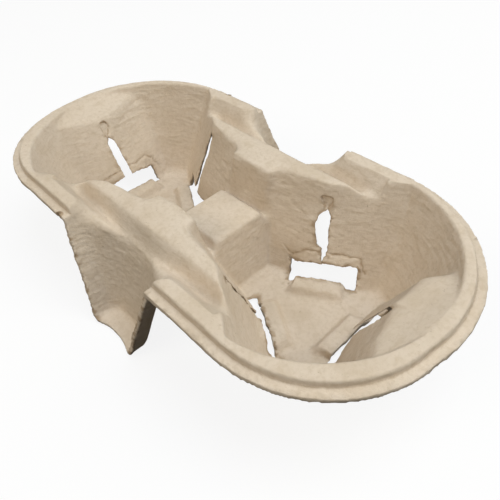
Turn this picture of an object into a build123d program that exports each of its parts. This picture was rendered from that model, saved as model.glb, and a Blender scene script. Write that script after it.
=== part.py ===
from build123d import *
from math import acos, atan2, cos, pi, radians, sin, tan
import os

# Two-cup carrier of moulded paper pulp, one drafted sheet.
# Millimetres, +X along the carrier, +Z up, the feet and well floors rest on z = 0.

# Sheet, outline and the raised flange inside the brim
sheet = 2.0
length = 213.4
width = 106.2
height = 45.6
front_corner_offset = 7.7
front_corner_setback = 1.0
brim_drop = 2.6
brim_strip = 3.2
flange_draft = 10.0
flange_rounding = 0.8
flange_band = 8.5

# Cup wells: a cone on each end with three flaps that bulge inwards
well_pitch = 102.0
well_rim = 5.1
well_draft = 21.5
well_lip_rounding = 1.0
well_floor_rounding = 4.0
flap_top_drop = 7.4
outer_flap_bulge = 13.3
outer_flap_lean = 26.6
outer_flap_turn = 11.0
shoulder_slope = 29.1
side_flap_angle = 120.0
side_flap_bulge = 16.5
side_flap_lean = 22.4
side_flap_turn = 5.0
saddle_flap_turn = 18.0

# Slots that free the flaps, and the bar on the floor below each flap
slit_width = 5.0
outer_slit_drop = 14.6
side_slit_drop = 12.1
dimple_width = 6.4
dimple_depth = 0.9
flap_lift = 10.0
slot_length = 31.4
slot_gap = 2.0
bar_top_width = 6.0
bar_rise = 3.5
bar_length = 19.6
bar_slope = 55.0

# Two ridges along the carrier, with a groove between each and the flange
crest_drop = 2.1
crest_inset = 19.6
crest_rounding = 3.0
groove_inset = 14.6
groove_drop = 7.3
groove_rounding = 2.5

# Saddle between the wells: a pad, a valley each side of it and the wide part of the crests
pad_length = 24.4
pad_width = 24.0
pad_drop = 18.6
pad_draft = 15.6
pad_rounding = 1.8
valley_reach = 15.5
valley_drop = 23.6
tab_reach = 19.0
tab_draft = 2.0

# Side recesses that end in the feet
recess_mouth = 54.0
recess_depth = 16.3
recess_back_draft = 18.0
recess_bevel_length = 16.6
recess_bevel_depth = 8.9
recess_side_rounding = 7.0
recess_back_rounding = 28.0
recess_lip_rounding = 6.0
foot_bevel = 3.0
foot_rounding = 3.5
foot_fold_rounding = 2.5
foot_flare = 7.9
foot_length = 22.8
foot_bow = 2.5

# Values worked out from the sizes above
reach = length
brim_height = height - brim_drop
well_x = well_pitch / 2
well_radius = width / 2 - well_rim
flange_inner = width / 2 - flange_band
crest_outer = width / 2 - crest_inset
groove_reach = width / 2 - groove_inset
flap_angles = (0, side_flap_angle, -side_flap_angle)


def outline(inset):
    """Plan outline moved inwards: each end has two round corners and a line that touches both."""
    front_radius = width / 2 - front_corner_offset
    back_radius = width / 2
    front = Vector(length / 2 - front_corner_setback - front_radius, -front_corner_offset)
    back = Vector(length / 2 - back_radius, 0)
    across = back - front
    turn = atan2(across.Y, across.X) - acos((front_radius - back_radius) / across.length)
    arcs = []
    for centre, radius, start, finish in ((front, front_radius - inset, -pi / 2, turn),
                                          (back, back_radius - inset, turn, pi / 2)):
        angles = (start, (start + finish) / 2, finish)
        arcs.append(ThreePointArc(*[centre + Vector(cos(a), sin(a)) * radius for a in angles]))
    end = arcs[0] + Line(arcs[0] @ 1, arcs[1] @ 0) + arcs[1]
    other = mirror(end, Plane.YZ)
    low, high = arcs[0] @ 0, arcs[1] @ 1
    sides = [Line((-low.X, low.Y), (low.X, low.Y)), Line((high.X, high.Y), (-high.X, high.Y))]
    face = make_face(end.edges() + other.edges() + sides)
    return face if face.faces()[0].normal_at().Z > 0 else mirror(face, Plane.XY)


def below(point, normal):
    """Everything on the inner side of a plane."""
    side = 2 * reach
    return Plane(origin=point, z_dir=normal) * Pos(0, 0, -side / 2) * Box(side, side, side)


def along_x(points, offset_by, half_length, roundings=()):
    """A profile in Y and Z, moved outwards by an offset and extruded both ways along X."""
    face = Plane.YZ * make_face(Polyline(*points, close=True))
    for place, radius in roundings:
        corner = face.vertices().sort_by_distance(Vector(0, place[0], place[1]))[0]
        face = fillet(corner, radius)
    if offset_by:
        face = offset(face, offset_by, kind=Kind.INTERSECTION)
    return extrude(face, half_length, both=True)


def flap_shape(angle):
    """A flap's lean, and how far its top and its free lower edge are from the well's axis."""
    lean = radians(side_flap_lean if angle else outer_flap_lean)
    top = well_radius - (side_flap_bulge if angle else outer_flap_bulge)
    return lean, top, top - (height - flap_top_drop - flap_lift) * tan(lean)


def flap_mass(inset, angle):
    """The wedge behind one flap: two leaning faces that meet in a line down its middle."""
    lean, top = flap_shape(angle)[:2]
    edge = Vector(top, 0, height - flap_top_drop)
    wedge = None
    for side in (-1, 1):
        turn = outer_flap_turn
        if angle:
            turn = saddle_flap_turn if side * angle > 0 else side_flap_turn
        turn = radians(turn)
        normal = Vector(-cos(turn), side * sin(turn), tan(lean) * cos(turn)).normalized()
        face = below(edge - normal * inset, normal)
        wedge = face if wedge is None else wedge & face
    if angle == 0:
        slope = radians(shoulder_slope)
        normal = Vector(-sin(slope), 0, cos(slope))
        wedge = wedge & below(edge - normal * inset, normal)
    return Rot(0, 0, angle) * wedge


def well_cone(inset):
    """The tapered round room of a cup, with the rounding of its floor and of its lip."""
    floor_radius = well_radius - (height - sheet) * tan(radians(well_draft))
    above = 2 * height
    face = Plane.XZ * make_face(Polyline((0, sheet), (floor_radius, sheet),
                                         (well_radius, height), (width / 2, height),
                                         (width / 2, above), (0, above), close=True))
    for place, radius in (((well_radius, height), well_lip_rounding),
                          ((floor_radius, sheet), well_floor_rounding)):
        corner = face.vertices().sort_by_distance(Vector(place[0], 0, place[1]))[0]
        face = fillet(corner, radius)
    if inset:
        face = offset(face, inset, kind=Kind.INTERSECTION)
        face = face & Plane.XZ * Pos(reach, 0) * Rectangle(2 * reach, 2 * reach)
    return revolve(face, Axis.Z)


def bar(inset, angle):
    """The raised bar on the well's floor in front of one flap."""
    outer = flap_shape(angle)[2] - slot_gap
    slope = tan(radians(bar_slope))
    shrink = inset * tan(radians((90 - bar_slope) / 2))
    top = sheet + bar_rise - inset
    low = -inset
    inner = outer - bar_top_width + shrink
    spread = (top - low) / slope
    end = bar_length / 2 - shrink
    back = outer + sheet
    top_face = Pos((inner + back) / 2, 0, top) * Rectangle(back - inner, 2 * end)
    low_face = Pos((inner - spread + back) / 2, 0, low) * Rectangle(back - inner + spread,
                                                                    2 * (end + spread))
    return Rot(0, 0, angle) * loft([low_face, top_face])


def saddle_mass(inset):
    """The block between the wells: pad, valleys and the wide part of both crests."""
    pad_height = height - pad_drop
    deep = -brim_height
    across = [(-crest_outer, deep), (-crest_outer, height), (-tab_reach, height),
              (-valley_reach, height - valley_drop), (-pad_width / 2, pad_height),
              (pad_width / 2, pad_height), (valley_reach, height - valley_drop),
              (tab_reach, height), (crest_outer, height), (crest_outer, deep)]
    foot = pad_length / 2 + (pad_height - deep) * tan(radians(pad_draft))
    top = pad_length / 2 - (height - pad_height) * tan(radians(tab_draft))
    along = [(-foot, deep), (-pad_length / 2, pad_height), (-top, height),
             (top, height), (pad_length / 2, pad_height), (foot, deep)]
    block = along_x(across, -inset, reach)
    ends = Plane.XZ * make_face(Polyline(*along, close=True))
    if inset:
        ends = offset(ends, -inset, kind=Kind.INTERSECTION)
    block = block & extrude(ends, reach, both=True)
    if not inset:
        pad = block.faces().filter_by(Axis.Z).sort_by_distance(Vector(0, 0, pad_height))[0]
        block = fillet(pad.edges().filter_by(Axis.Y), pad_rounding)
    return block


def well_room(inset):
    """All the open room of one well, at +X."""
    room = well_cone(inset)
    room += Pos(-well_x / 2, 0, sheet - inset) * Box(well_x, 2 * crest_outer, reach,
                                                    align=(Align.CENTER, Align.CENTER, Align.MIN))
    for angle in flap_angles:
        room -= [flap_mass(inset, angle), bar(inset, angle)]
    return Pos(well_x, 0, 0) * room - saddle_mass(inset)


def ridge_room(inset):
    """The room above both crests and in both grooves."""
    above = 2 * height
    crest = height - crest_drop
    groove = height - groove_drop
    half = [(crest_outer, crest), (groove_reach, groove), (flange_inner, height)]
    points = half + [(flange_inner, above), (-flange_inner, above)]
    points += [(-y, z) for y, z in reversed(half)]
    roundings = []
    for side in (-1, 1):
        roundings.append(((side * crest_outer, crest), crest_rounding))
        roundings.append(((side * groove_reach, groove), groove_rounding))
    return along_x(points, inset, well_x, roundings)


def recess_level(z, inset):
    """The side recess cut level at one height: bevelled inner corners, open outwards."""
    up = (z - sheet) / (height - sheet)
    half = foot_length / 2 + up * (recess_mouth - foot_length) / 2
    back = width / 2 - recess_depth + (height - z) * tan(radians(recess_back_draft))
    bevel_x = foot_bevel + up * (recess_bevel_length - foot_bevel)
    bevel_y = foot_bevel + up * (recess_bevel_depth - foot_bevel)
    side = foot_rounding + up * (recess_side_rounding - foot_rounding)
    curve = foot_rounding + up * (recess_back_rounding - foot_rounding)
    face = make_face(Polyline((-half, reach), (-half, back + bevel_y), (-half + bevel_x, back),
                              (half - bevel_x, back), (half, back + bevel_y), (half, reach),
                              close=True))
    corners = face.vertices().sort_by(Axis.Y)
    face = fillet(corners[:2], curve)
    ends = [Vector(-half, back + bevel_y), Vector(half, back + bevel_y)]
    face = fillet([face.vertices().sort_by_distance(end)[0] for end in ends], side)
    if inset:
        face = offset(face, inset, kind=Kind.INTERSECTION)
    return Pos(0, 0, z) * face


def recess_room(inset):
    """The room of one side recess, at +Y, down to its foot."""
    grow = inset / cos(atan2((recess_mouth - foot_length) / 2, height - sheet))
    room = loft([recess_level(sheet - inset, grow), recess_level(height + sheet, grow)],
                ruled=True)
    fold = room.edges().group_by(Axis.Z)[0].sort_by(Axis.Y)[:-1]
    return fillet(fold, foot_fold_rounding + inset)


def eased(mass, room, inset):
    """The mass with the upper edge of one recess rounded over between the ends of the flange."""
    low = height - groove_drop - groove_rounding - inset
    lip = []
    for edge in mass.edges():
        middle = edge @ 0.5
        if middle.Z > low and abs(middle.Y) < flange_inner and room.distance_to(middle) < sheet / 100:
            lip.append(edge)
    return fillet(lip, recess_lip_rounding - inset)


def mould(inset):
    """The mass under the sheet's upper face, or under its lower face with the sheet as inset."""
    top = brim_height - inset
    mass = Pos(0, 0, top) * Box(2 * reach, 2 * reach, 2 * brim_height,
                                align=(Align.CENTER, Align.CENTER, Align.MAX))
    flange = extrude(Pos(0, 0, top) * outline(brim_strip + inset), brim_drop, taper=flange_draft)
    if not inset:
        flange = fillet(flange.edges().group_by(Axis.Z)[-1], flange_rounding)
    mass += flange
    mass -= ridge_room(inset)
    recess = recess_room(inset)
    for room in (recess, mirror(recess, Plane.XZ)):
        mass = eased(mass - room, room, inset)
    well = well_room(inset)
    return mass - [well, mirror(well, Plane.YZ)]


def trim():
    """What the trimming die keeps: the brim's outline, and the flared edge of each foot."""
    kept = Pos(0, 0, -sheet) * extrude(outline(0), 2 * height)
    edge = width / 2
    under = brim_height - sheet
    foot_edge = edge + foot_flare
    flare = Plane.YZ * make_face(Polyline((0, under), (edge, under), (foot_edge, 0),
                                          (foot_edge, -sheet), (0, -sheet), close=True))
    flare = extrude(flare, recess_mouth / 2, both=True)
    bow = ((foot_length / 2) ** 2 + foot_bow ** 2) / (2 * foot_bow)
    flare -= Pos(0, foot_edge - foot_bow + bow, 0) * Cylinder(bow, brim_height)
    return kept + [flare, mirror(flare, Plane.XZ)]


def flap_cuts(angle):
    """The slot under one flap, the slit up its middle and the dimple at the slit's top."""
    lean, top, foot = flap_shape(angle)
    inner = foot - slot_gap
    turn = saddle_flap_turn if angle else outer_flap_turn
    depth = slot_gap + slot_length / 2 * tan(radians(turn)) + 2 * sheet
    slot = Pos(inner, 0, -sheet) * Box(depth, slot_length, flap_lift + sheet,
                                       align=(Align.MIN, Align.CENTER, Align.MIN))
    edge = Vector(top, 0, height - flap_top_drop)
    face = Plane(origin=edge, x_dir=(0, -1, 0), z_dir=(-cos(lean), 0, sin(lean)))
    slit_drop = side_slit_drop if angle else outer_slit_drop
    slit_top = (flap_top_drop - slit_drop) / cos(lean)
    slit_foot = (flap_lift - sheet - edge.Z) / cos(lean)
    slit = Pos(0, (slit_top - slit_width / 2 + slit_foot) / 2) * Rectangle(
        slit_width, slit_top - slit_width / 2 - slit_foot)
    slit += Pos(0, slit_top - slit_width / 2) * Circle(slit_width / 2)
    dimple_low = slit_top - slit_width
    dimple_high = -dimple_width / 2
    dimple = Pos(0, (dimple_low + dimple_high) / 2) * Rectangle(dimple_width,
                                                                dimple_high - dimple_low)
    dimple += Pos(0, dimple_high) * Circle(dimple_width / 2)
    cuts = [slot, extrude(face * slit, 2 * sheet, both=True)]
    cuts.append(face * Pos(0, 0, -dimple_depth) * extrude(dimple, 2 * sheet))
    return [Pos(well_x, 0, 0) * Rot(0, 0, angle) * cut for cut in cuts]


body = trim() & (mould(0) - mould(sheet))
for angle in flap_angles:
    for cut in flap_cuts(angle):
        body -= [cut, mirror(cut, Plane.YZ)]
print("solids", len(body.solids()), "volume", body.volume, "box", body.bounding_box())
os.makedirs("parts", exist_ok=True)
export_step(body, "parts/cup_carrier.step")
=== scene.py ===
import bpy
import bmesh
import math
import numpy as np
from mathutils import Matrix, Vector


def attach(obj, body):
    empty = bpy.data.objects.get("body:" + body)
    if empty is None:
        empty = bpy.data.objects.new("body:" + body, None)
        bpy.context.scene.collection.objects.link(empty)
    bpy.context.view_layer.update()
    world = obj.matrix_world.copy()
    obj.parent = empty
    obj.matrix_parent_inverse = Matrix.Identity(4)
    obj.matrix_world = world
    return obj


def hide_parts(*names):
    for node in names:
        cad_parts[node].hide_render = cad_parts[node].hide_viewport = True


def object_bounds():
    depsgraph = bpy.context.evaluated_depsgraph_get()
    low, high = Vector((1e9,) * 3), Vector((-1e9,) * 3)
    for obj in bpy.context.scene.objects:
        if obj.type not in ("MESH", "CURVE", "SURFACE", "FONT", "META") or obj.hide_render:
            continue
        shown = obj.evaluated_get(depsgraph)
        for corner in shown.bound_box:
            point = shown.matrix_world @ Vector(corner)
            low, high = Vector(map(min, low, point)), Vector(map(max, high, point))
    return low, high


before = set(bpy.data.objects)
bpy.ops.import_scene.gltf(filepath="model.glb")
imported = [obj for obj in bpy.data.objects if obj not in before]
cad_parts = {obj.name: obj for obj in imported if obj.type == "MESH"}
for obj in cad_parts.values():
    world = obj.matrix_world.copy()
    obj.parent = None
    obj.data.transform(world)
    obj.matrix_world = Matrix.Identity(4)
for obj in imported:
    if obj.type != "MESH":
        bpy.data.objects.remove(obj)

cadBox = [list(corner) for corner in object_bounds()]
millimetre = 0.001
perMetre = 1000.0


def smoothStep(low, high, value):
    part = np.clip((value - low) / (high - low), 0.0, 1.0)
    return part * part * (3.0 - 2.0 * part)


def fading(low, high, value):
    # 1 up to low, 0 from high on
    return 1.0 - smoothStep(low, high, value)


def between(low, high, blur, value):
    # 1 from low to high, with soft ends
    return smoothStep(low - blur, low, value) * fading(high, high + blur, value)


def linkObject(name, data):
    piece = bpy.data.objects.new(name, data)
    bpy.context.scene.collection.objects.link(piece)
    return piece


# camera at the place the photograph was taken from
cameraSetup = {
    "place": (0.1250, -0.0926, 0.1581),
    "right": (0.69372631, 0.71814897, -0.05482566),
    "up": (-0.48069465, 0.51834359, 0.70728535),
    "back": (0.53635478, -0.46430806, 0.70479896),
    "lens": 34.66,
    "sensor": 36.0,
    "clipStart": 0.005,
}


def makeCamera(setup):
    lens = bpy.data.cameras.new("photoCamera")
    lens.lens = setup["lens"]
    lens.sensor_width = setup["sensor"]
    lens.clip_start = setup["clipStart"]
    camera = linkObject("photoCamera", lens)
    turn = Matrix((setup["right"], setup["up"], setup["back"])).transposed().to_4x4()
    camera.matrix_world = Matrix.Translation(setup["place"]) @ turn
    bpy.context.scene.camera = camera


makeCamera(cameraSetup)
print("camera placed")


# soft studio light: a broad lamp high up, weaker ones at the back right and in front,
# and a faint room
studio = {
    "roomColour": (1.0, 0.97, 0.93, 1.0),
    "roomStrength": 0.11,
    "lampSize": 0.8,
    "lamps": {                                 # place, colour, power
        "topLamp": ((0.24, 0.24, 1.26), (0.84, 0.92, 1.0), 10.2),
        "sideLamp": ((0.65, 0.65, 0.92), (1.0, 0.96, 0.84), 6.0),
        "frontLamp": ((-0.16, -0.91, 0.92), (1.0, 0.93, 0.80), 6.6),
    },
    "floorSize": 4.0,
    "floorColour": (0.86, 0.86, 0.86, 1.0),    # as the camera sees it
    "floorBounce": (0.12, 0.12, 0.12, 1.0),    # as the light meets it
    "floorGlow": 0.88,
    "white": (1.0, 1.0, 1.0, 1.0),
}


def makeRoom(setup):
    world = bpy.data.worlds.new("studioRoom")
    bpy.context.scene.world = world
    world.use_nodes = True
    nodes, links = world.node_tree.nodes, world.node_tree.links
    glow = nodes["Background"]
    glow.inputs["Color"].default_value = setup["roomColour"]
    glow.inputs["Strength"].default_value = setup["roomStrength"]
    white = nodes.new("ShaderNodeBackground")
    white.inputs["Color"].default_value = setup["white"]
    rays = nodes.new("ShaderNodeLightPath")
    choose = nodes.new("ShaderNodeMixShader")
    links.new(rays.outputs["Is Camera Ray"], choose.inputs[0])
    links.new(glow.outputs[0], choose.inputs[1])
    links.new(white.outputs[0], choose.inputs[2])
    links.new(choose.outputs[0], nodes["World Output"].inputs["Surface"])


def makeFloor(setup):
    bm = bmesh.new()
    bmesh.ops.create_grid(bm, x_segments=1, y_segments=1, size=setup["floorSize"] / 2)
    mesh = bpy.data.meshes.new("paleFloor")
    bm.to_mesh(mesh)
    bm.free()
    floor = linkObject("paleFloor", mesh)
    material = bpy.data.materials.new("paleFloor")
    material.use_nodes = True
    nodes, links = material.node_tree.nodes, material.node_tree.links
    nodes.remove(nodes["Principled BSDF"])
    matt = nodes.new("ShaderNodeBsdfDiffuse")
    glow = nodes.new("ShaderNodeEmission")
    rays = nodes.new("ShaderNodeLightPath")
    tone = nodes.new("ShaderNodeMix")
    tone.data_type = "RGBA"
    tone.inputs["A"].default_value = setup["floorBounce"]
    tone.inputs["B"].default_value = setup["floorColour"]
    links.new(rays.outputs["Is Camera Ray"], tone.inputs["Factor"])
    links.new(tone.outputs["Result"], matt.inputs["Color"])
    share = nodes.new("ShaderNodeMath")
    share.operation = "MULTIPLY"
    share.inputs[1].default_value = setup["floorGlow"]
    choose = nodes.new("ShaderNodeMixShader")
    links.new(rays.outputs["Is Camera Ray"], share.inputs[0])
    links.new(share.outputs[0], choose.inputs[0])
    links.new(matt.outputs[0], choose.inputs[1])
    links.new(glow.outputs[0], choose.inputs[2])
    links.new(choose.outputs[0], nodes["Material Output"].inputs["Surface"])
    mesh.materials.append(material)


def makeLamps(setup):
    for name, (place, colour, power) in setup["lamps"].items():
        lamp = bpy.data.lights.new(name, "AREA")
        lamp.shape = "DISK"
        lamp.size = setup["lampSize"]
        lamp.color = colour
        lamp.energy = power
        holder = linkObject(name, lamp)
        holder.location = place
        holder.rotation_euler = (-Vector(place)).to_track_quat("-Z", "Y").to_euler()


makeRoom(studio)
makeFloor(studio)
makeLamps(studio)
print("studio lit")


# moulded pulp: matt, finely fibrous, brown where it is torn and worn, and darker with painted shade
# along cut faces, creases, the dimple's rim and the brim's crease
pulpLook = {
    "pale": (0.665, 0.565, 0.455, 1.0),
    "warm": (0.530, 0.425, 0.305, 1.0),
    "deep": (0.330, 0.240, 0.150, 1.0),
    # darker browns read through the attribute: stain and torn brown, which also serve as painted
    # shade
    "stainAndShade": (0.360, 0.255, 0.160, 1.0),
    "tornAndShade": (0.215, 0.150, 0.090, 1.0),
    "cloud": (38.0, 4.0, 0.6, 0.0),            # scale, detail, roughness and distortion
    "grain": (620.0, 5.0, 0.65, 0.3),
    "fibre": (1.0, 4.0, 0.6, 0.6),
    "fleck": (900.0, 2.0, 0.5, 1.5),
    "fibreStretch": (170.0, 170.0, 900.0),
    "cloudBand": (0.38, 0.72, 0.45),           # from, to, and the tint's share there
    "grainBand": (0.42, 0.75, 0.55),
    "fibreBand": (0.48, 0.74, 0.50),
    "fleckBand": (0.68, 0.76, 0.5),
    # these two tints follow the attribute, which holds stain and torn brown together with painted
    # shade
    "stainAndShadeBand": (0.0, 0.5, 0.80),
    "tornAndShadeBand": (0.5, 1.0, 0.90),
    "roughness": 0.93,
    "specular": 0.18,
    "grainHeight": 0.7,
    "fibreHeight": 0.5,
    "bumpStrength": 0.8,
    "bumpDepth": 0.00035,
}


def makePulp(look):
    material = bpy.data.materials.new("mouldedPulp")
    material.use_nodes = True
    nodes, links = material.node_tree.nodes, material.node_tree.links
    shader = nodes["Principled BSDF"]
    shader.inputs["Roughness"].default_value = look["roughness"]
    shader.inputs["Specular IOR Level"].default_value = look["specular"]
    place = nodes.new("ShaderNodeTexCoord").outputs["Object"]

    def noiseOf(name, source):
        texture = nodes.new("ShaderNodeTexNoise")
        for socket, value in zip(("Scale", "Detail", "Roughness", "Distortion"), look[name]):
            texture.inputs[socket].default_value = value
        links.new(source, texture.inputs["Vector"])
        return texture.outputs["Fac"]

    def tinted(colour, value, bandName, tint):
        low, high, most = look[bandName]
        ramp = nodes.new("ShaderNodeMapRange")
        ramp.interpolation_type = "SMOOTHSTEP"
        ramp.inputs["From Min"].default_value = low
        ramp.inputs["From Max"].default_value = high
        ramp.inputs["To Min"].default_value = 0.0
        ramp.inputs["To Max"].default_value = most
        links.new(value, ramp.inputs["Value"])
        mix = nodes.new("ShaderNodeMix")
        mix.data_type = "RGBA"
        links.new(ramp.outputs["Result"], mix.inputs["Factor"])
        if isinstance(colour, tuple):
            mix.inputs["A"].default_value = colour
        else:
            links.new(colour, mix.inputs["A"])
        mix.inputs["B"].default_value = look[tint]
        return mix.outputs["Result"]

    def times(value, amount):
        product = nodes.new("ShaderNodeMath")
        product.operation = "MULTIPLY"
        links.new(value, product.inputs[0])
        product.inputs[1].default_value = amount
        return product.outputs[0]

    stretch = nodes.new("ShaderNodeMapping")
    stretch.inputs["Scale"].default_value = look["fibreStretch"]
    links.new(place, stretch.inputs["Vector"])
    # the attribute holds the brown of torn and stained edges and painted shade on cut faces,
    # creases, the dimple's rim and the brim's crease
    tornAndShade = nodes.new("ShaderNodeAttribute")
    tornAndShade.attribute_name = "tornAndShade"
    grain = noiseOf("grain", place)
    fibre = noiseOf("fibre", stretch.outputs[0])

    colour = tinted(look["pale"], noiseOf("cloud", place), "cloudBand", "warm")
    colour = tinted(colour, grain, "grainBand", "warm")
    colour = tinted(colour, fibre, "fibreBand", "warm")
    colour = tinted(colour, noiseOf("fleck", place), "fleckBand", "deep")
    colour = tinted(colour, tornAndShade.outputs["Fac"], "stainAndShadeBand", "stainAndShade")
    colour = tinted(colour, tornAndShade.outputs["Fac"], "tornAndShadeBand", "tornAndShade")
    links.new(colour, shader.inputs["Base Color"])

    height = nodes.new("ShaderNodeMath")
    links.new(times(grain, look["grainHeight"]), height.inputs[0])
    links.new(times(fibre, look["fibreHeight"]), height.inputs[1])
    bump = nodes.new("ShaderNodeBump")
    bump.inputs["Strength"].default_value = look["bumpStrength"]
    bump.inputs["Distance"].default_value = look["bumpDepth"]
    links.new(height.outputs[0], bump.inputs["Height"])
    links.new(bump.outputs[0], shader.inputs["Normal"])
    return material


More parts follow.
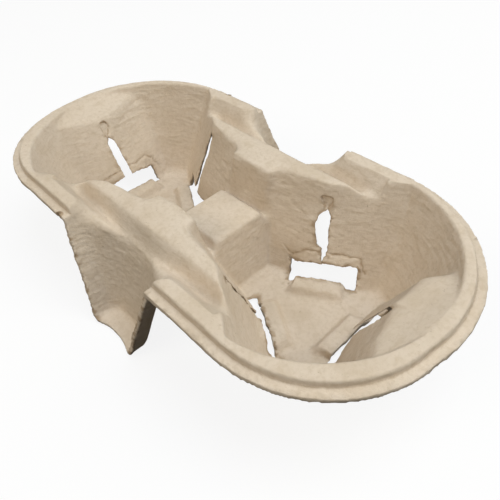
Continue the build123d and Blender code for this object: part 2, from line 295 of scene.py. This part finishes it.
# the sheet: the solid's own shape, remeshed finely so that folds go soft and edges ragged;
# lengths are in millimetres, and most pairs are where something begins and is full or gone
sheetShape = {
    "mergeWithin": 0.001,
    "voxel": 0.5,
    "smoothing": 1,                            # rounds
    "smoothingShare": 0.5,
    "faces": 190000,                           # triangles kept
    "margin": 0.02,                            # how far it stays inside the CAD box

    "width": 106.2,                            # the brim
    "length": 213.4,
    "height": 45.6,
    "frontRadius": 45.4,
    "frontCentre": (60.3, -7.7),
    "brimHeight": 43.0,
    "flangeBand": (8.0, 10.5),                 # in from the outline
    "recessHalf": (11.4, 27.0),                # at the foot and at the mouth
    "recessEdge": (4.0, 1.0),
    "recessHeights": (2.5, 6.0),
    "recessDepths": (34.0, 36.0),
    "edgeKept": 0.85,                          # how much of the softening an edge is spared

    "foldRounds": 13,                          # rounds of averaging inside the flange
    "wallRounds": 110,                         # more of them on the walls between the flaps
    "wallLow": (13.0, 17.0),
    "wallHigh": (36.0, 41.0),
    "wallIn": (22.0, 26.0),
    "cornerRounds": 85,                        # and at the upright corners of the saddle
    "cornerPlace": (13.0, 26.0),
    "cornerRadius": 7.0,
    "cornerReach": (3.0, 6.5),
    "cornerHeights": (19.0, 24.0),
    "grooveDeeper": 2.6,
    "grooveLine": 38.2,
    "grooveHalf": 4.6,
    "grooveHeights": (29.0, 36.0),
    "grooveEnds": (40.0, 47.0),

    "wellPlace": 51.0,                         # where the wells, flaps and slots are
    "ends": (1, -1),                           # near well, far well
    "flapAngles": (0.0, 120.0, -120.0),        # outer flap, back flap, front flap
    "saddleSigns": (0, 1, -1),                 # which side of each is by the saddle
    "flapTopHeight": 38.2,
    "flapTop": (34.7, 31.5),                   # outer flap, side flaps
    "flapLean": (26.6, 22.4),
    "flapFoot": (20.6, 19.9),
    "flapTurn": (11.0, 18.0, 5.0),             # outer flap, side flaps by the saddle and away
    "slitWidth": 5.0,
    "slitTop": (31.0, 33.5),
    "slotHalf": 15.7,
    "slotHeight": 10.0,
    "slotIn": 2.0,

    "nearEdge": (0.6, 3.0),                    # how near an edge is near
    "slitDepths": (-6.0, 6.0, 3.0),            # ranges with a blur: low, high, blur
    "flapDepths": (-1.0, 5.5, 2.0),
    "pushDepths": (-1.5, 4.0, 2.0),
    "dimpleDepths": (-1.5, 5.0, 1.5),
    "slitPast": (2.0, 1.0, 2.5),               # how far past the slit its wear goes, and a blur
    "slotPast": (2.0, 11.0, 3.0),              # and past the slot, in and out
    "slotEdge": (0.5, 3.5),                    # and to its sides and up
    "flapStart": (3.0, 0.5),                   # how far below the slot's top its flap begins
    "flapSides": (14.0, 18.0),
    "shiftBlur": 1.0,                          # each side of the slit's middle
    "shiftReach": 8.0,
    "shiftAbove": 4.0,
    "pushBlur": 0.5,
    "pushRise": 9.0,
    "pushSides": (15.0, 23.0),
    "pushHeights": (38.0, 43.0),
    "thinHeights": (38.5, 41.0),
    "wedgeDepths": (-3.0, 3.3),                # of the wedges that tear the slits on
    "wedgeBelow": 1.5,                         # how far they reach into the cut slit
    "wedgeInside": 0.05,
    "footPush": 0.25,                          # how much of the minus half's push its foot has
    "twistReach": 12.0,
    "twistBelow": 1.0,
    "twistThin": 0.8,
    "twistThinReach": 13.0,
    "footReach": 8.0,                          # how far up the foot's wear goes
    "slotEndReach": 8.0,
    "slotEndHeight": 4.0,
    "slotEndPast": (4.0, 11.0, 4.0),
    "sheetDepth": 2.6,                         # a little over the thickness
    "floorDepth": 1.9,
    "slotThin": 0.92,                          # how much of the floor is lost along a slot

    "tear": 0.40,                              # how far a slot's edge wanders
    "tearLength": 2.2,
    "tearBroad": 3.0,
    "tearWays": (1.0, 1.0, 0.7),
    "speckleLength": 1.3,                      # of the noise in the brown marks
    "smudgeLength": 4.0,
    "dimpleEdge": (0.80, 1.05),                # in half widths
    # the ring where painted shade lies on the dimple's rim
    "dimpleShadeRing": (0.88, 1.02, 0.14),
    "dimpleBelow": 1.0,
    "dimplePower": 3,                          # squarish, not round
    "creaseWander": 1.8,
    "creaseEdge": (0.15, 0.9),
    "creaseDent": 0.4,
    # painted shade along the creases
    "creaseShade": 0.8,
    "cutSteepness": (0.45, 0.85),              # how squarely a cut face looks sideways
    "cutSpeckle": (-0.5, 0.2),
    "frayNear": (0.80, 1.0),
    "fraySpeckle": (-0.1, 0.4),
    "frayStain": 0.8,
    "stainNear": (0.15, 0.8),
    "stainSmudge": (-0.15, 0.45),
    "stainMost": 0.42,
    # the painted shade on the dimple's rim and the creases, broken up by speckle
    "rimSpeckle": (-0.6, 0.2),
    "rimShadeShare": 0.5,

    "nick": 0.10,                              # how far the trimmed brim wanders
    "fray": 0.26,                              # and the edges of the feet
    "trimLengths": (2.4, 11.0),
    "trimBroad": 1.6,
    "trimWays": (1.0, 1.0, 0.35),
    "trimSpeckle": 1.6,
    "trimStain": 0.6,
    "brimEdge": (0.3, 1.6),
    "brimBelow": 4.0,
    "footEdge": (-1.8, -0.3),                  # out from the foot's flare
    "footFlare": 7.9,
    "footHeights": (0.8, 40.0),
    "brimDepth": 3.2,                          # where the brim meets the flange
    "brimCrease": 0.10,
    "brimCreaseBlur": 0.30,
    "brimCreaseRise": (0.3, 0.8),
    # painted shade in the crease where the brim meets the flange
    "brimCreaseShade": 0.34,
    "bits": ((-29.5, -53.0), (-50.5, 52.6)),   # torn bits on the rim
    "bitReach": (0.5, 2.6),
    "bitInset": (0.5, 3.0),
    "bitLift": 0.5,
    "bitWander": 1.2,
    "bitStain": 0.9,

    "lumps": 0.10,                             # uneven felting
    "lumpLength": 5.0,
    "grain": 0.05,
    "grainLength": 1.6,
    "uprightBand": (0.55, 0.85),               # a wall's normal, up or down
    "wellRadius": 36.0,
    "streakBend": (0.8, 7.0),                  # how far they stray round the well, and how slowly
    "streakStray": (1.6, 9.0),                 # and up and down
    "streaks": 0.17,
    "streakSize": (3.4, 0.75),
    "streakApart": 9.0,                        # sets the two wells apart
    "streakLeast": 0.5,
    "waves": 0.20,
    "waveSize": (6.5, 1.9),
    "waveApart": 5.0,
    "waveHeights": (18.0, 34.0),
    "patchLength": 16.0,
    "patchBand": (-0.25, 0.45),
    "worms": 0.15,
    "wormSize": (1.5, 1.3, 0.8),
    "wormOut": (36.0, 38.0),
    "wormEnds": (20.0, 26.0),

    # how each flap was torn and pushed about, by end and flap number: the slit's two edges by
    # height, how far it is torn on at its top and how wide there, how far its two halves are
    # pushed in and how much more the plus half is with each millimetre, how thin the two edges
    # are, the flap's foot by its place across, the slot's two ends, and the dimple's middle,
    # half width, two heights and depth
    "plainWear": {"top": 0.0, "topHalf": 0.7, "push": None, "edges": (0.78, 0.78),
                  "dimple": None},
    "flapWear": {
        (1, 0): {"minus": ((10, 13, 17, 20), (2.6, 1.6, 0.3, 0.0)),
                 "plus": ((10, 13), (-0.8, 0.0)),
                 "top": 4.6, "topHalf": 1.6, "push": (1.4, 2.3, 0.15),
                 "foot": ((-15, 15), (0.0, 0.0)), "ends": (3.8, 4.0), "tear": 0.45},
        (1, 1): {"minus": ((12, 14.1, 20.8, 28, 33.7), (1.6, 0.6, 0.4, 0.8, 0.5)),
                 "plus": ((12, 14.4, 18.0, 18.6, 23.1, 27.4, 33.2),
                          (-3.2, -2.6, -2.4, -0.5, 0.4, 1.1, -1.5)),
                 "foot": ((-14.4, -8.3, -2.6, 0, 3.7, 8.6, 14),
                          (1.9, 2.1, 2.4, 0.9, 1.0, -0.9, -3.1)),
                 "ends": (0.0, -3.0), "tear": 1.0, "dimple": (0.2, 2.7, 33.4, 38.4, 0.9)},
        (1, 2): {"minus": ((10, 20, 33), (0.6, 0.8, 0.4)),
                 "plus": ((10, 20, 33), (-0.9, -0.9, -0.4)),
                 "top": 3.5, "edges": (0.15, 0.78),
                 "foot": ((-15, -4, 2, 7, 12, 15), (0.5, 0.0, -0.8, 3.0, 4.2, 0.5)),
                 "ends": (0.0, 1.0), "tear": 1.0},
        (-1, 0): {"minus": ((13.7, 17.7, 24.4, 30.8), (-1.0, -0.8, -0.8, 0.2)),
                  "plus": ((13.7, 18.8, 26.4, 30.3), (-1.4, -1.6, -1.7, -2.7)),
                  "foot": ((-15, -10.7, -2.7, 5.2, 12.7), (-1.5, -0.1, 2.6, 1.6, -0.7)),
                  "ends": (3.5, -1.2), "tear": 0.8, "dimple": (-0.6, 2.1, 29.5, 37.9, 0.8)},
        (-1, 1): {"minus": ((10, 20, 33), (1.4, 0.9, 0.6)),
                  "plus": ((10, 20, 33), (-1.8, -1.2, -0.6)),
                  "top": 5.0, "edges": (0.35, 0.78),
                  "foot": ((-15, 0, 4, 15), (0.5, -1.0, -3.6, -4.2)),
                  "ends": (3.0, 0.0), "tear": 0.7},
        (-1, 2): {"minus": ((10, 20, 33), (0.6, 0.8, 0.4)),
                  "plus": ((10, 20, 33), (-0.6, -0.8, -0.4)),
                  "top": 1.0, "edges": (0.5, 0.78),
                  "foot": ((-15, 0, 15), (-0.5, 0.8, 0.6)),
                  "ends": (1.0, 0.0), "tear": 0.9},
    },
    # crumpled creases beside the slots, as places across and up the flap
    "creases": {
        (1, 1): (((17.0, 13.3), (13.6, 12.8), (10.0, 13.4), (6.4, 15.0), (2.4, 15.6)),
                 ((-1.5, 16.4), (-5.9, 15.3), (-9.4, 15.8), (-12.0, 15.0), (-15.9, 15.0),
                  (-17.0, 11.0), (-17.9, 8.5))),
        (-1, 0): (((1.7, 16.4), (5.5, 14.0), (9.0, 14.8), (13.7, 15.0), (16.3, 13.0),
                   (17.8, 10.2), (19.3, 7.6)),
                  ((-13.5, 14.0), (-5.8, 14.2), (-2.6, 14.6))),
    },
}


def mergedCopy(node, name, within):
    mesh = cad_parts[node].data.copy()
    mesh.materials.clear()
    bm = bmesh.new()
    bm.from_mesh(mesh)
    bmesh.ops.remove_doubles(bm, verts=bm.verts, dist=within)
    bmesh.ops.recalc_face_normals(bm, faces=bm.faces)
    bm.to_mesh(mesh)
    bm.free()
    return linkObject(name, mesh)


def applied(piece):
    graph = bpy.context.evaluated_depsgraph_get()
    mesh = bpy.data.meshes.new_from_object(piece.evaluated_get(graph))
    piece.modifiers.clear()
    old = piece.data
    piece.data = mesh
    bpy.data.meshes.remove(old)


def remeshed(piece, voxel, smoothing, share):
    remesh = piece.modifiers.new("remesh", "REMESH")
    remesh.mode = "VOXEL"
    remesh.voxel_size = voxel
    remesh.use_smooth_shade = True
    soften = piece.modifiers.new("soften", "SMOOTH")
    soften.factor = share
    soften.iterations = smoothing
    applied(piece)


def triangleCount(piece):
    return sum(len(face.vertices) - 2 for face in piece.data.polygons)


def thinned(piece, faces):
    thin = piece.modifiers.new("thin", "DECIMATE")
    thin.ratio = min(1.0, faces / triangleCount(piece))
    applied(piece)


# gradient noise over a lattice of random directions
noiseSetup = {
    "seed": 41,
    "kinds": 3,
    "cells": 1024,                             # a power of two
    "seedStep": (7.31, 3.17, 5.73),
    "strength": 1.6,
}


def makeLattice(setup):
    # the directions, and a number for every cell
    dice = np.random.default_rng(setup["seed"])
    ways = dice.normal(size=(setup["kinds"], setup["cells"], 3))
    ways /= np.linalg.norm(ways, axis=2, keepdims=True)
    return ways.astype(np.float32), dice.permutation(setup["cells"]).astype(np.int32)


latticeWays, latticeNumbers = makeLattice(noiseSetup)


def noiseVectors(places, length, seed, kinds=noiseSetup["kinds"]):
    # the noise of all the points at once, one column for each kind
    last = noiseSetup["cells"] - 1
    where = places / length + seed * np.array(noiseSetup["seedStep"])
    cell = np.floor(where).astype(np.int32)
    part = (where - cell).astype(np.float32)
    fade = part ** 3 * (part * (part * 6.0 - 15.0) + 10.0)
    total = np.zeros((len(places), kinds), dtype=np.float32)
    for corner in range(8):
        step = np.array((corner & 1, corner >> 1 & 1, corner >> 2 & 1), dtype=np.int32)
        spot = cell + step
        key = latticeNumbers[spot[:, 0] & last]
        key = latticeNumbers[(key + spot[:, 1]) & last]
        key = latticeNumbers[(key + spot[:, 2]) & last]
        weight = np.prod(np.where(step, fade, 1.0 - fade), axis=1)
        offset = part - step
        for kind in range(kinds):
            total[:, kind] += weight * np.einsum("ij,ij->i", offset, latticeWays[kind][key])
    return total * noiseSetup["strength"]


def noiseField(places, length, seed):
    return noiseVectors(places, length, seed, 1)[:, 0]


def wearOf(shape, key):
    return {**shape["plainWear"], **shape["flapWear"][key]}


def flapFace(shape, kind, height):
    # how far out the face of a flap's middle line is at each height
    lean = math.tan(math.radians(shape["flapLean"][kind]))
    return shape["flapTop"][kind] - (shape["flapTopHeight"] - height) * lean


def flapPlaces(shape, places):
    # for every flap in turn, where all the points are in its own directions
    height = places[:, 2]
    for end in shape["ends"]:
        for flap, angle in enumerate(shape["flapAngles"]):
            turn = math.radians(angle)
            kind = min(flap, 1)
            along = places[:, 0] * end - shape["wellPlace"]
            outward = along * math.cos(turn) + places[:, 1] * math.sin(turn)
            sideways = -along * math.sin(turn) + places[:, 1] * math.cos(turn)
            across = np.abs(sideways)
            depth = outward - flapFace(shape, kind, height)
            plainTurn = shape["flapTurn"][0 if flap == 0 else 2]
            bySaddle = sideways * shape["saddleSigns"][flap] > 0
            turned = np.where(bySaddle, shape["flapTurn"][1], plainTurn)
            yield {
                "key": (end, flap), "kind": kind, "height": height, "outward": outward,
                "sideways": sideways, "across": across, "depth": depth,
                "behind": depth - across * np.tan(np.radians(turned)),
                "outwardWay": np.array((math.cos(turn) * end, math.sin(turn), 0.0)),
                "sideWay": np.array((-math.sin(turn) * end, math.cos(turn), 0.0)),
            }


def tearOn(piece, shape):
    # the slits that are torn on above their cut tops, as wedges taken out of the sheet
    bm = bmesh.new()
    for end, flap in shape["flapWear"]:
        wear = wearOf(shape, (end, flap))
        if not wear["top"]:
            continue
        kind = min(flap, 1)
        turn = math.radians(shape["flapAngles"][flap])
        low = shape["slitTop"][kind] - shape["wedgeBelow"]
        high = shape["slitTop"][kind] + wear["top"]
        lowHalf = shape["slitWidth"] / 2 - shape["wedgeInside"]
        corners = []
        for height, half in ((low, lowHalf), (high, wear["topHalf"])):
            face = flapFace(shape, kind, height)
            for depth in shape["wedgeDepths"]:
                outward = face + depth
                for sideways in (-half, half):
                    along = outward * math.cos(turn) - sideways * math.sin(turn)
                    across = outward * math.sin(turn) + sideways * math.cos(turn)
                    place = Vector(((along + shape["wellPlace"]) * end, across, height))
                    corners.append(bm.verts.new(place * millimetre))
        bmesh.ops.convex_hull(bm, input=corners)
    bmesh.ops.recalc_face_normals(bm, faces=bm.faces)
    mesh = bpy.data.meshes.new("slitWedges")
    bm.to_mesh(mesh)
    bm.free()
    wedges = linkObject("slitWedges", mesh)
    cut = piece.modifiers.new("tearOn", "BOOLEAN")
    cut.operation = "DIFFERENCE"
    cut.solver = "EXACT"
    cut.object = wedges
    applied(piece)
    bpy.data.objects.remove(wedges)
    bpy.data.meshes.remove(mesh)


def insideOutline(shape, places):
    # how far each point is inside the plan outline
    x, y = np.abs(places[:, 0]), places[:, 1]
    backRadius = shape["width"] / 2
    backX = shape["length"] / 2 - backRadius
    frontX, frontY = shape["frontCentre"]
    back = backRadius - np.hypot(x - backX, y)
    front = shape["frontRadius"] - np.hypot(x - frontX, y - frontY)
    return np.where(x > backX, np.maximum(back, front), backRadius - np.abs(y))


def slotNearness(shape, at, top):
    # how near each point is to the edge of a flap's slit and of its slot, 1 at the edge
    across, outward, height = at["across"], at["outward"], at["height"]
    slotHalf, slotHeight = shape["slotHalf"], shape["slotHeight"]
    gap = np.abs(across - shape["slitWidth"] / 2)
    slitTop = shape["slitTop"][at["kind"]] + top
    below, above, blur = shape["slitPast"]
    nearSlit = fading(*shape["nearEdge"], gap) * between(*shape["slitDepths"], at["depth"])
    nearSlit *= between(slotHeight - below, slitTop + above, blur, height)
    slotIn = shape["flapFoot"][at["kind"]] - shape["slotIn"]
    edge = np.minimum(np.abs(outward - slotIn), np.abs(height - slotHeight))
    edge = np.minimum(np.abs(slotHalf - across), edge)
    inside, outside, blur = shape["slotPast"]
    start, stop = shape["slotEdge"]
    nearSlot = fading(*shape["nearEdge"], edge)
    nearSlot *= between(slotIn - inside, slotIn + outside, blur, outward)
    nearSlot *= fading(slotHalf + start, slotHalf + stop, across)
    nearSlot *= fading(slotHeight + start, slotHeight + stop, height)
    return nearSlit, nearSlot


def softness(shape, places):
    # 1 where the felt lies in broad folds, 0 along the brim, the cut ends, the foot and the slots
    x, y, z = np.abs(places[:, 0]), np.abs(places[:, 1]), places[:, 2]
    soft = smoothStep(*shape["flangeBand"], insideOutline(shape, places))
    footHalf, mouthHalf = shape["recessHalf"]
    half = footHalf + (mouthHalf - footHalf) * z / shape["height"]
    edgeStart, edgeStop = shape["recessEdge"]
    inRecess = fading(half - edgeStart, half - edgeStop, x)
    inRecess *= smoothStep(*shape["recessHeights"], z) * smoothStep(*shape["recessDepths"], y)
    soft = np.maximum(soft, inRecess)
    for at in flapPlaces(shape, places):
        slit, slot = slotNearness(shape, at, wearOf(shape, at["key"])["top"])
        soft *= 1.0 - shape["edgeKept"] * np.maximum(slit, slot)
    return soft


def averaged(places, edges, weight, rounds):
    # each point goes halfway to the mean of its neighbours, as far as its weight allows
    count = len(places)
    ends = np.concatenate((edges[:, 0], edges[:, 1]))
    others = np.concatenate((edges[:, 1], edges[:, 0]))
    degree = np.maximum(np.bincount(ends, minlength=count), 1)
    share = 0.5 * weight
    for step in range(rounds):
        for axis in range(3):
            mean = np.bincount(ends, weights=places[others, axis], minlength=count) / degree
            places[:, axis] += share * (mean - places[:, axis])
    return places


def softenFolds(shape, places, edges):
    soft = softness(shape, places)
    x, y, z = np.abs(places[:, 0]), np.abs(places[:, 1]), places[:, 2]
    cornerX, cornerY = shape["cornerPlace"]
    fromCorner = np.hypot(x - cornerX, y - cornerY) - shape["cornerRadius"]
    corner = fading(*shape["cornerReach"], fromCorner) * smoothStep(*shape["cornerHeights"], z)
    places = averaged(places, edges, soft * corner, shape["cornerRounds"])
    wall = smoothStep(*shape["wallLow"], z) * fading(*shape["wallHigh"], z)
    wall = wall * smoothStep(*shape["wallIn"], x)
    places = averaged(places, edges, soft * wall, shape["wallRounds"])
    places = averaged(places, edges, soft, shape["foldRounds"])
    hollow = fading(0.0, shape["grooveHalf"], np.abs(y - shape["grooveLine"]))
    sink = shape["grooveDeeper"] * hollow * smoothStep(*shape["grooveHeights"], z)
    places[:, 2] -= sink * fading(*shape["grooveEnds"], x)
    return places


def aboveFoot(shape, height):
    # 1 on a flap, 0 under its foot
    low, high = shape["flapStart"]
    return smoothStep(shape["slotHeight"] - low, shape["slotHeight"] - high, height)


def shiftedSlit(shape, at, wear, onFlap):
    # how far the two edges of the slit go sideways
    height, half, blur = at["height"], shape["slitWidth"] / 2, shape["shiftBlur"]
    slitTop = shape["slitTop"][at["kind"]]
    shift = np.interp(height, *wear["minus"])
    shift += (np.interp(height, *wear["plus"]) - shift) * smoothStep(-blur, blur, at["sideways"])
    reach = fading(half, half + shape["shiftReach"], at["across"]) * onFlap
    return shift * reach * fading(slitTop, slitTop + shape["shiftAbove"], height)


def pushedHalves(shape, at, wear):
    # how far the two halves of the flap go in
    height, half, foot = at["height"], shape["slitWidth"] / 2, shape["slotHeight"]
    kept, blur = shape["footPush"], shape["pushBlur"]
    minusPush, plusPush, twist = wear["push"]
    rise = smoothStep(foot, foot + shape["pushRise"], height)
    minusPush = minusPush * (kept + (1.0 - kept) * rise)
    plusPush = plusPush + twist * np.clip(at["across"] - half, 0.0, shape["twistReach"])
    inward = minusPush + (plusPush - minusPush) * smoothStep(-blur, blur, at["sideways"])
    inward = inward * between(*shape["pushDepths"], at["behind"]) * aboveFoot(shape, height)
    middle = fading(*shape["pushSides"], at["across"]) * fading(*shape["pushHeights"], height)
    return inward * middle


def thinnedEdges(shape, at, wear, slit):
    # how much of the thickness is lost from behind, along the slit and over a twisted half
    height, half, foot = at["height"], shape["slitWidth"] / 2, shape["slotHeight"]
    edge = np.where(at["sideways"] < 0, *wear["edges"]) * slit
    if wear["push"]:
        wide = shape["twistThin"] * fading(half, half + shape["twistThinReach"], at["across"])
        wide = wide * (at["sideways"] > 0) * (height > foot - shape["twistBelow"])
        wide *= fading(*shape["thinHeights"], height) * between(*shape["pushDepths"], at["behind"])
        edge = np.maximum(edge, wide)
    return np.clip(at["behind"], 0.0, shape["sheetDepth"]) * edge


def nearLine(line, across, up):
    # how far each point is from a bent line
    best = np.full(len(across), np.inf)
    for (startX, startY), (stopX, stopY) in zip(line, line[1:]):
        runX, runY = stopX - startX, stopY - startY
        part = ((across - startX) * runX + (up - startY) * runY) / (runX * runX + runY * runY)
        part = np.clip(part, 0.0, 1.0)
        best = np.minimum(best, np.hypot(across - startX - part * runX, up - startY - part * runY))
    return best


def dimpleAndCreases(shape, at, wear, wander):
    # how deep the dimple above the slit and the creases are, and the painted shade on their rims
    height, sideways = at["height"], at["sideways"]
    middle, width, bottom, top, sink = wear["dimple"]
    face = between(*shape["dimpleDepths"], at["depth"])
    power = shape["dimplePower"]
    ring = np.abs((sideways - middle) / width) ** power
    ring = np.cbrt(ring + np.abs((height - (bottom + top) / 2) / ((top - bottom) / 2)) ** power)
    dent = fading(*shape["dimpleEdge"], ring) * face
    paintedRimShade = between(*shape["dimpleShadeRing"], ring) * face
    paintedRimShade = paintedRimShade * smoothStep(-shape["dimpleBelow"], 0.0, height - bottom)
    stray = shape["creaseWander"] * wander
    for line in shape["creases"].get(at["key"], ()):
        reach = nearLine(line, sideways + stray[:, 0], height + stray[:, 1])
        fold = fading(*shape["creaseEdge"], reach) * face
        dent = np.maximum(dent, fold * shape["creaseDent"])
        paintedRimShade = np.maximum(paintedRimShade, fold * shape["creaseShade"])
    return sink * dent, paintedRimShade


def tearEdges(shape, places, normals):
    # ragged slits and slots: edges shift and wander, the sheet thins, cut faces are marked as torn
    # and given painted shade
    tornAndShade = np.zeros(len(places))
    length, foot = shape["tearLength"], shape["slotHeight"]
    wander = noiseVectors(places, length, seed=5) * shape["tear"]
    wander += noiseVectors(places, length * shape["tearBroad"], seed=6) * shape["tear"]
    speckle = noiseField(places, shape["speckleLength"], seed=7)
    smudge = noiseField(places, shape["smudgeLength"], seed=8)
    moved = places.copy()
    for at in flapPlaces(shape, places):
        wear = wearOf(shape, at["key"])
        height, sideways = at["height"], at["sideways"]
        outwardWay, sideWay = at["outwardWay"], at["sideWay"]
        slit, slot = slotNearness(shape, at, wear["top"])
        near = np.maximum(slit, slot)
        onFlap = between(*shape["flapDepths"], at["depth"]) * aboveFoot(shape, height)
        onFlap *= fading(*shape["flapSides"], at["across"])
        moved += shiftedSlit(shape, at, wear, onFlap)[:, None] * sideWay
        if wear["push"]:
            moved -= pushedHalves(shape, at, wear)[:, None] * outwardWay

        # the flap's foot and the ends of its slot
        rise = np.interp(sideways, *wear["foot"]) * fading(foot, foot + shape["footReach"], height)
        moved[:, 2] += rise * onFlap
        flapFoot = shape["flapFoot"][at["kind"]]
        inside, outside, blur = shape["slotEndPast"]
        low = fading(foot, foot + shape["slotEndHeight"], height)
        low = low * between(flapFoot - inside, flapFoot + outside, blur, at["outward"])
        for side, amount in zip((-1, 1), wear["ends"]):
            close = fading(0.0, shape["slotEndReach"], np.abs(sideways - side * shape["slotHalf"]))
            moved += (amount * close * low)[:, None] * sideWay

        paintedRimShade = 0.0
        if wear["dimple"]:
            dent, paintedRimShade = dimpleAndCreases(shape, at, wear, wander)
            moved += dent[:, None] * outwardWay
        moved += wander * (np.array(shape["tearWays"]) * (near * wear["tear"])[:, None])
        moved -= thinnedEdges(shape, at, wear, slit)[:, None] * outwardWay
        floorDepth = shape["floorDepth"]
        moved[:, 2] += np.clip(floorDepth - height, 0.0, floorDepth) * shape["slotThin"] * slot

        # browner along the slits and slots where cut, frayed or stained: partly the brown of torn
        # pulp, partly painted shade on the cut edges
        cut = smoothStep(*shape["cutSteepness"], np.abs(normals @ sideWay)) * slit
        cut = cut * smoothStep(*shape["cutSpeckle"], speckle)
        frayed = smoothStep(*shape["frayNear"], slot) * smoothStep(*shape["fraySpeckle"], speckle)
        stainAndShade = smoothStep(*shape["stainNear"], near) * smoothStep(*shape["stainSmudge"], smudge)
        wornAndShaded = np.maximum(cut, frayed * shape["frayStain"])
        wornAndShaded = np.maximum(wornAndShaded, stainAndShade * shape["stainMost"])
        tornAndShade = np.maximum(tornAndShade, wornAndShaded * wear["tear"] ** 2)
        # painted shade on the dimple's rim and along the creases
        tornAndShade = np.maximum(tornAndShade, paintedRimShade * shape["rimShadeShare"] * smoothStep(*shape["rimSpeckle"], speckle))
    return moved, tornAndShade


def frayTrim(shape, places, tornAndShade):
    # the trimmed brim wanders a little, the feet's cut edges more, and two bits of the rim are
    # torn; the brim's crease gets painted shade
    x, y, z = places[:, 0], np.abs(places[:, 1]), places[:, 2]
    inset = insideOutline(shape, places)
    shortLength, longLength = shape["trimLengths"]
    wander = noiseVectors(places, shortLength, seed=21)
    wander = wander + shape["trimBroad"] * noiseVectors(places, longLength, seed=22)
    speckle = noiseField(places, shape["trimSpeckle"], seed=23)
    brimHeight = shape["brimHeight"]
    onBrim = fading(*shape["brimEdge"], inset) * (z > brimHeight - shape["brimBelow"])
    flare = shape["width"] / 2 + shape["footFlare"] * (1.0 - z / brimHeight)
    lowest, highest = shape["footHeights"]
    onFoot = smoothStep(*shape["footEdge"], y - flare) * (z < highest) * (z > lowest)
    amount = onBrim * shape["nick"] + onFoot * shape["fray"]
    places += wander * np.array(shape["trimWays"]) * amount[:, None]
    frayed = onFoot * smoothStep(*shape["fraySpeckle"], speckle)
    tornAndShade = np.maximum(tornAndShade, frayed * shape["trimStain"])
    # painted shade along the crease between the brim and the flange
    middle, half = shape["brimDepth"], shape["brimCrease"]
    brimShade = between(middle - half, middle + half, shape["brimCreaseBlur"], inset)
    brimShade *= fading(*shape["brimCreaseRise"], np.abs(z - brimHeight))
    tornAndShade = np.maximum(tornAndShade, brimShade * shape["brimCreaseShade"])
    for bitX, bitY in shape["bits"]:
        near = fading(*shape["bitReach"], np.hypot(x - bitX, places[:, 1] - bitY))
        near = near * fading(*shape["bitInset"], inset)
        places[:, 2] += near * shape["bitLift"]
        places += wander * (near * shape["bitWander"])[:, None]
        tornAndShade = np.maximum(tornAndShade, near * shape["bitStain"])
    return places, tornAndShade


def feltPush(shape, places, normals):
    # lumps and grain all over, streaks round the wells' walls and worms on the recesses
    x, y, z = places[:, 0], places[:, 1], places[:, 2]
    upright = fading(*shape["uprightBand"], np.abs(normals[:, 2]))
    around = np.arctan2(y, np.abs(x) - shape["wellPlace"]) * shape["wellRadius"]
    bend, bendLength = shape["streakBend"]
    stray, strayLength = shape["streakStray"]
    along = around + bend * noiseField(places, bendLength, seed=15)
    level = z + stray * noiseField(places, strayLength, seed=16)

    def roundWell(size, apart, seed):
        # noise laid round the walls, set apart so that the two wells differ
        laid = np.stack((along / size[0], level / size[1], np.sign(x) * apart), 1)
        return noiseField(laid, 1.0, seed)

    streaks = roundWell(shape["streakSize"], shape["streakApart"], seed=11)
    waves = roundWell(shape["waveSize"], shape["waveApart"], seed=12)
    patches = smoothStep(*shape["patchBand"], noiseField(places, shape["patchLength"], seed=13))
    high = smoothStep(*shape["waveHeights"], z)
    least = shape["streakLeast"]
    wrinkled = upright * (shape["streaks"] * streaks * (least + (1.0 - least) * patches)
                          + shape["waves"] * waves * patches * high)
    outside = smoothStep(*shape["wormOut"], np.abs(y)) * fading(*shape["wormEnds"], np.abs(x))
    sizeX, sizeY, sizeZ = shape["wormSize"]
    worms = noiseField(np.stack((x / sizeX, y / sizeY, z / sizeZ), 1), 1.0, seed=14)
    wrinkled += shape["worms"] * worms * outside * upright
    push = shape["lumps"] * noiseField(places, shape["lumpLength"], seed=2)
    push += shape["grain"] * noiseField(places, shape["grainLength"], seed=3)
    push += wrinkled
    return push


def meshArrays(mesh):
    count = len(mesh.vertices)
    places = np.empty(count * 3)
    normals = np.empty(count * 3)
    edges = np.empty(len(mesh.edges) * 2, dtype=np.int32)
    mesh.vertices.foreach_get("co", places)
    mesh.vertices.foreach_get("normal", normals)
    mesh.edges.foreach_get("vertices", edges)
    return places.reshape(-1, 3) * perMetre, normals.reshape(-1, 3), edges.reshape(-1, 2)


def makeSheet(shape):
    piece = mergedCopy("cup_carrier", "pulpSheet", shape["mergeWithin"] * millimetre)
    tearOn(piece, shape)
    voxel = shape["voxel"] * millimetre
    remeshed(piece, voxel, shape["smoothing"], shape["smoothingShare"])
    mesh = piece.data
    places, normals, edges = meshArrays(mesh)
    print("remeshed to", len(places), "points")

    places = softenFolds(shape, places, edges)
    print("folds softened")

    places, tornAndShade = tearEdges(shape, places, normals)
    places, tornAndShade = frayTrim(shape, places, tornAndShade)
    places += normals * feltPush(shape, places, normals)[:, None]
    print("edges torn and felt roughened")

    low, high = (np.array(corner) * perMetre for corner in cadBox)
    places = np.clip(places, low + shape["margin"], high - shape["margin"])
    mesh.vertices.foreach_set("co", (places / perMetre).ravel())
    # the attribute carries torn brown and painted shade into the material
    mark = mesh.attributes.new("tornAndShade", "FLOAT", "POINT")
    mark.data.foreach_set("value", tornAndShade)
    mesh.update()
    thinned(piece, shape["faces"])
    piece.data.shade_smooth()
    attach(piece, "root")
    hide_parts("cup_carrier")
    return piece


pulpSheet = makeSheet(sheetShape)
pulpSheet.data.materials.append(makePulp(pulpLook))
print("pulp sheet made,", triangleCount(pulpSheet), "triangles")

bpy.context.scene.view_settings.view_transform = "Standard"
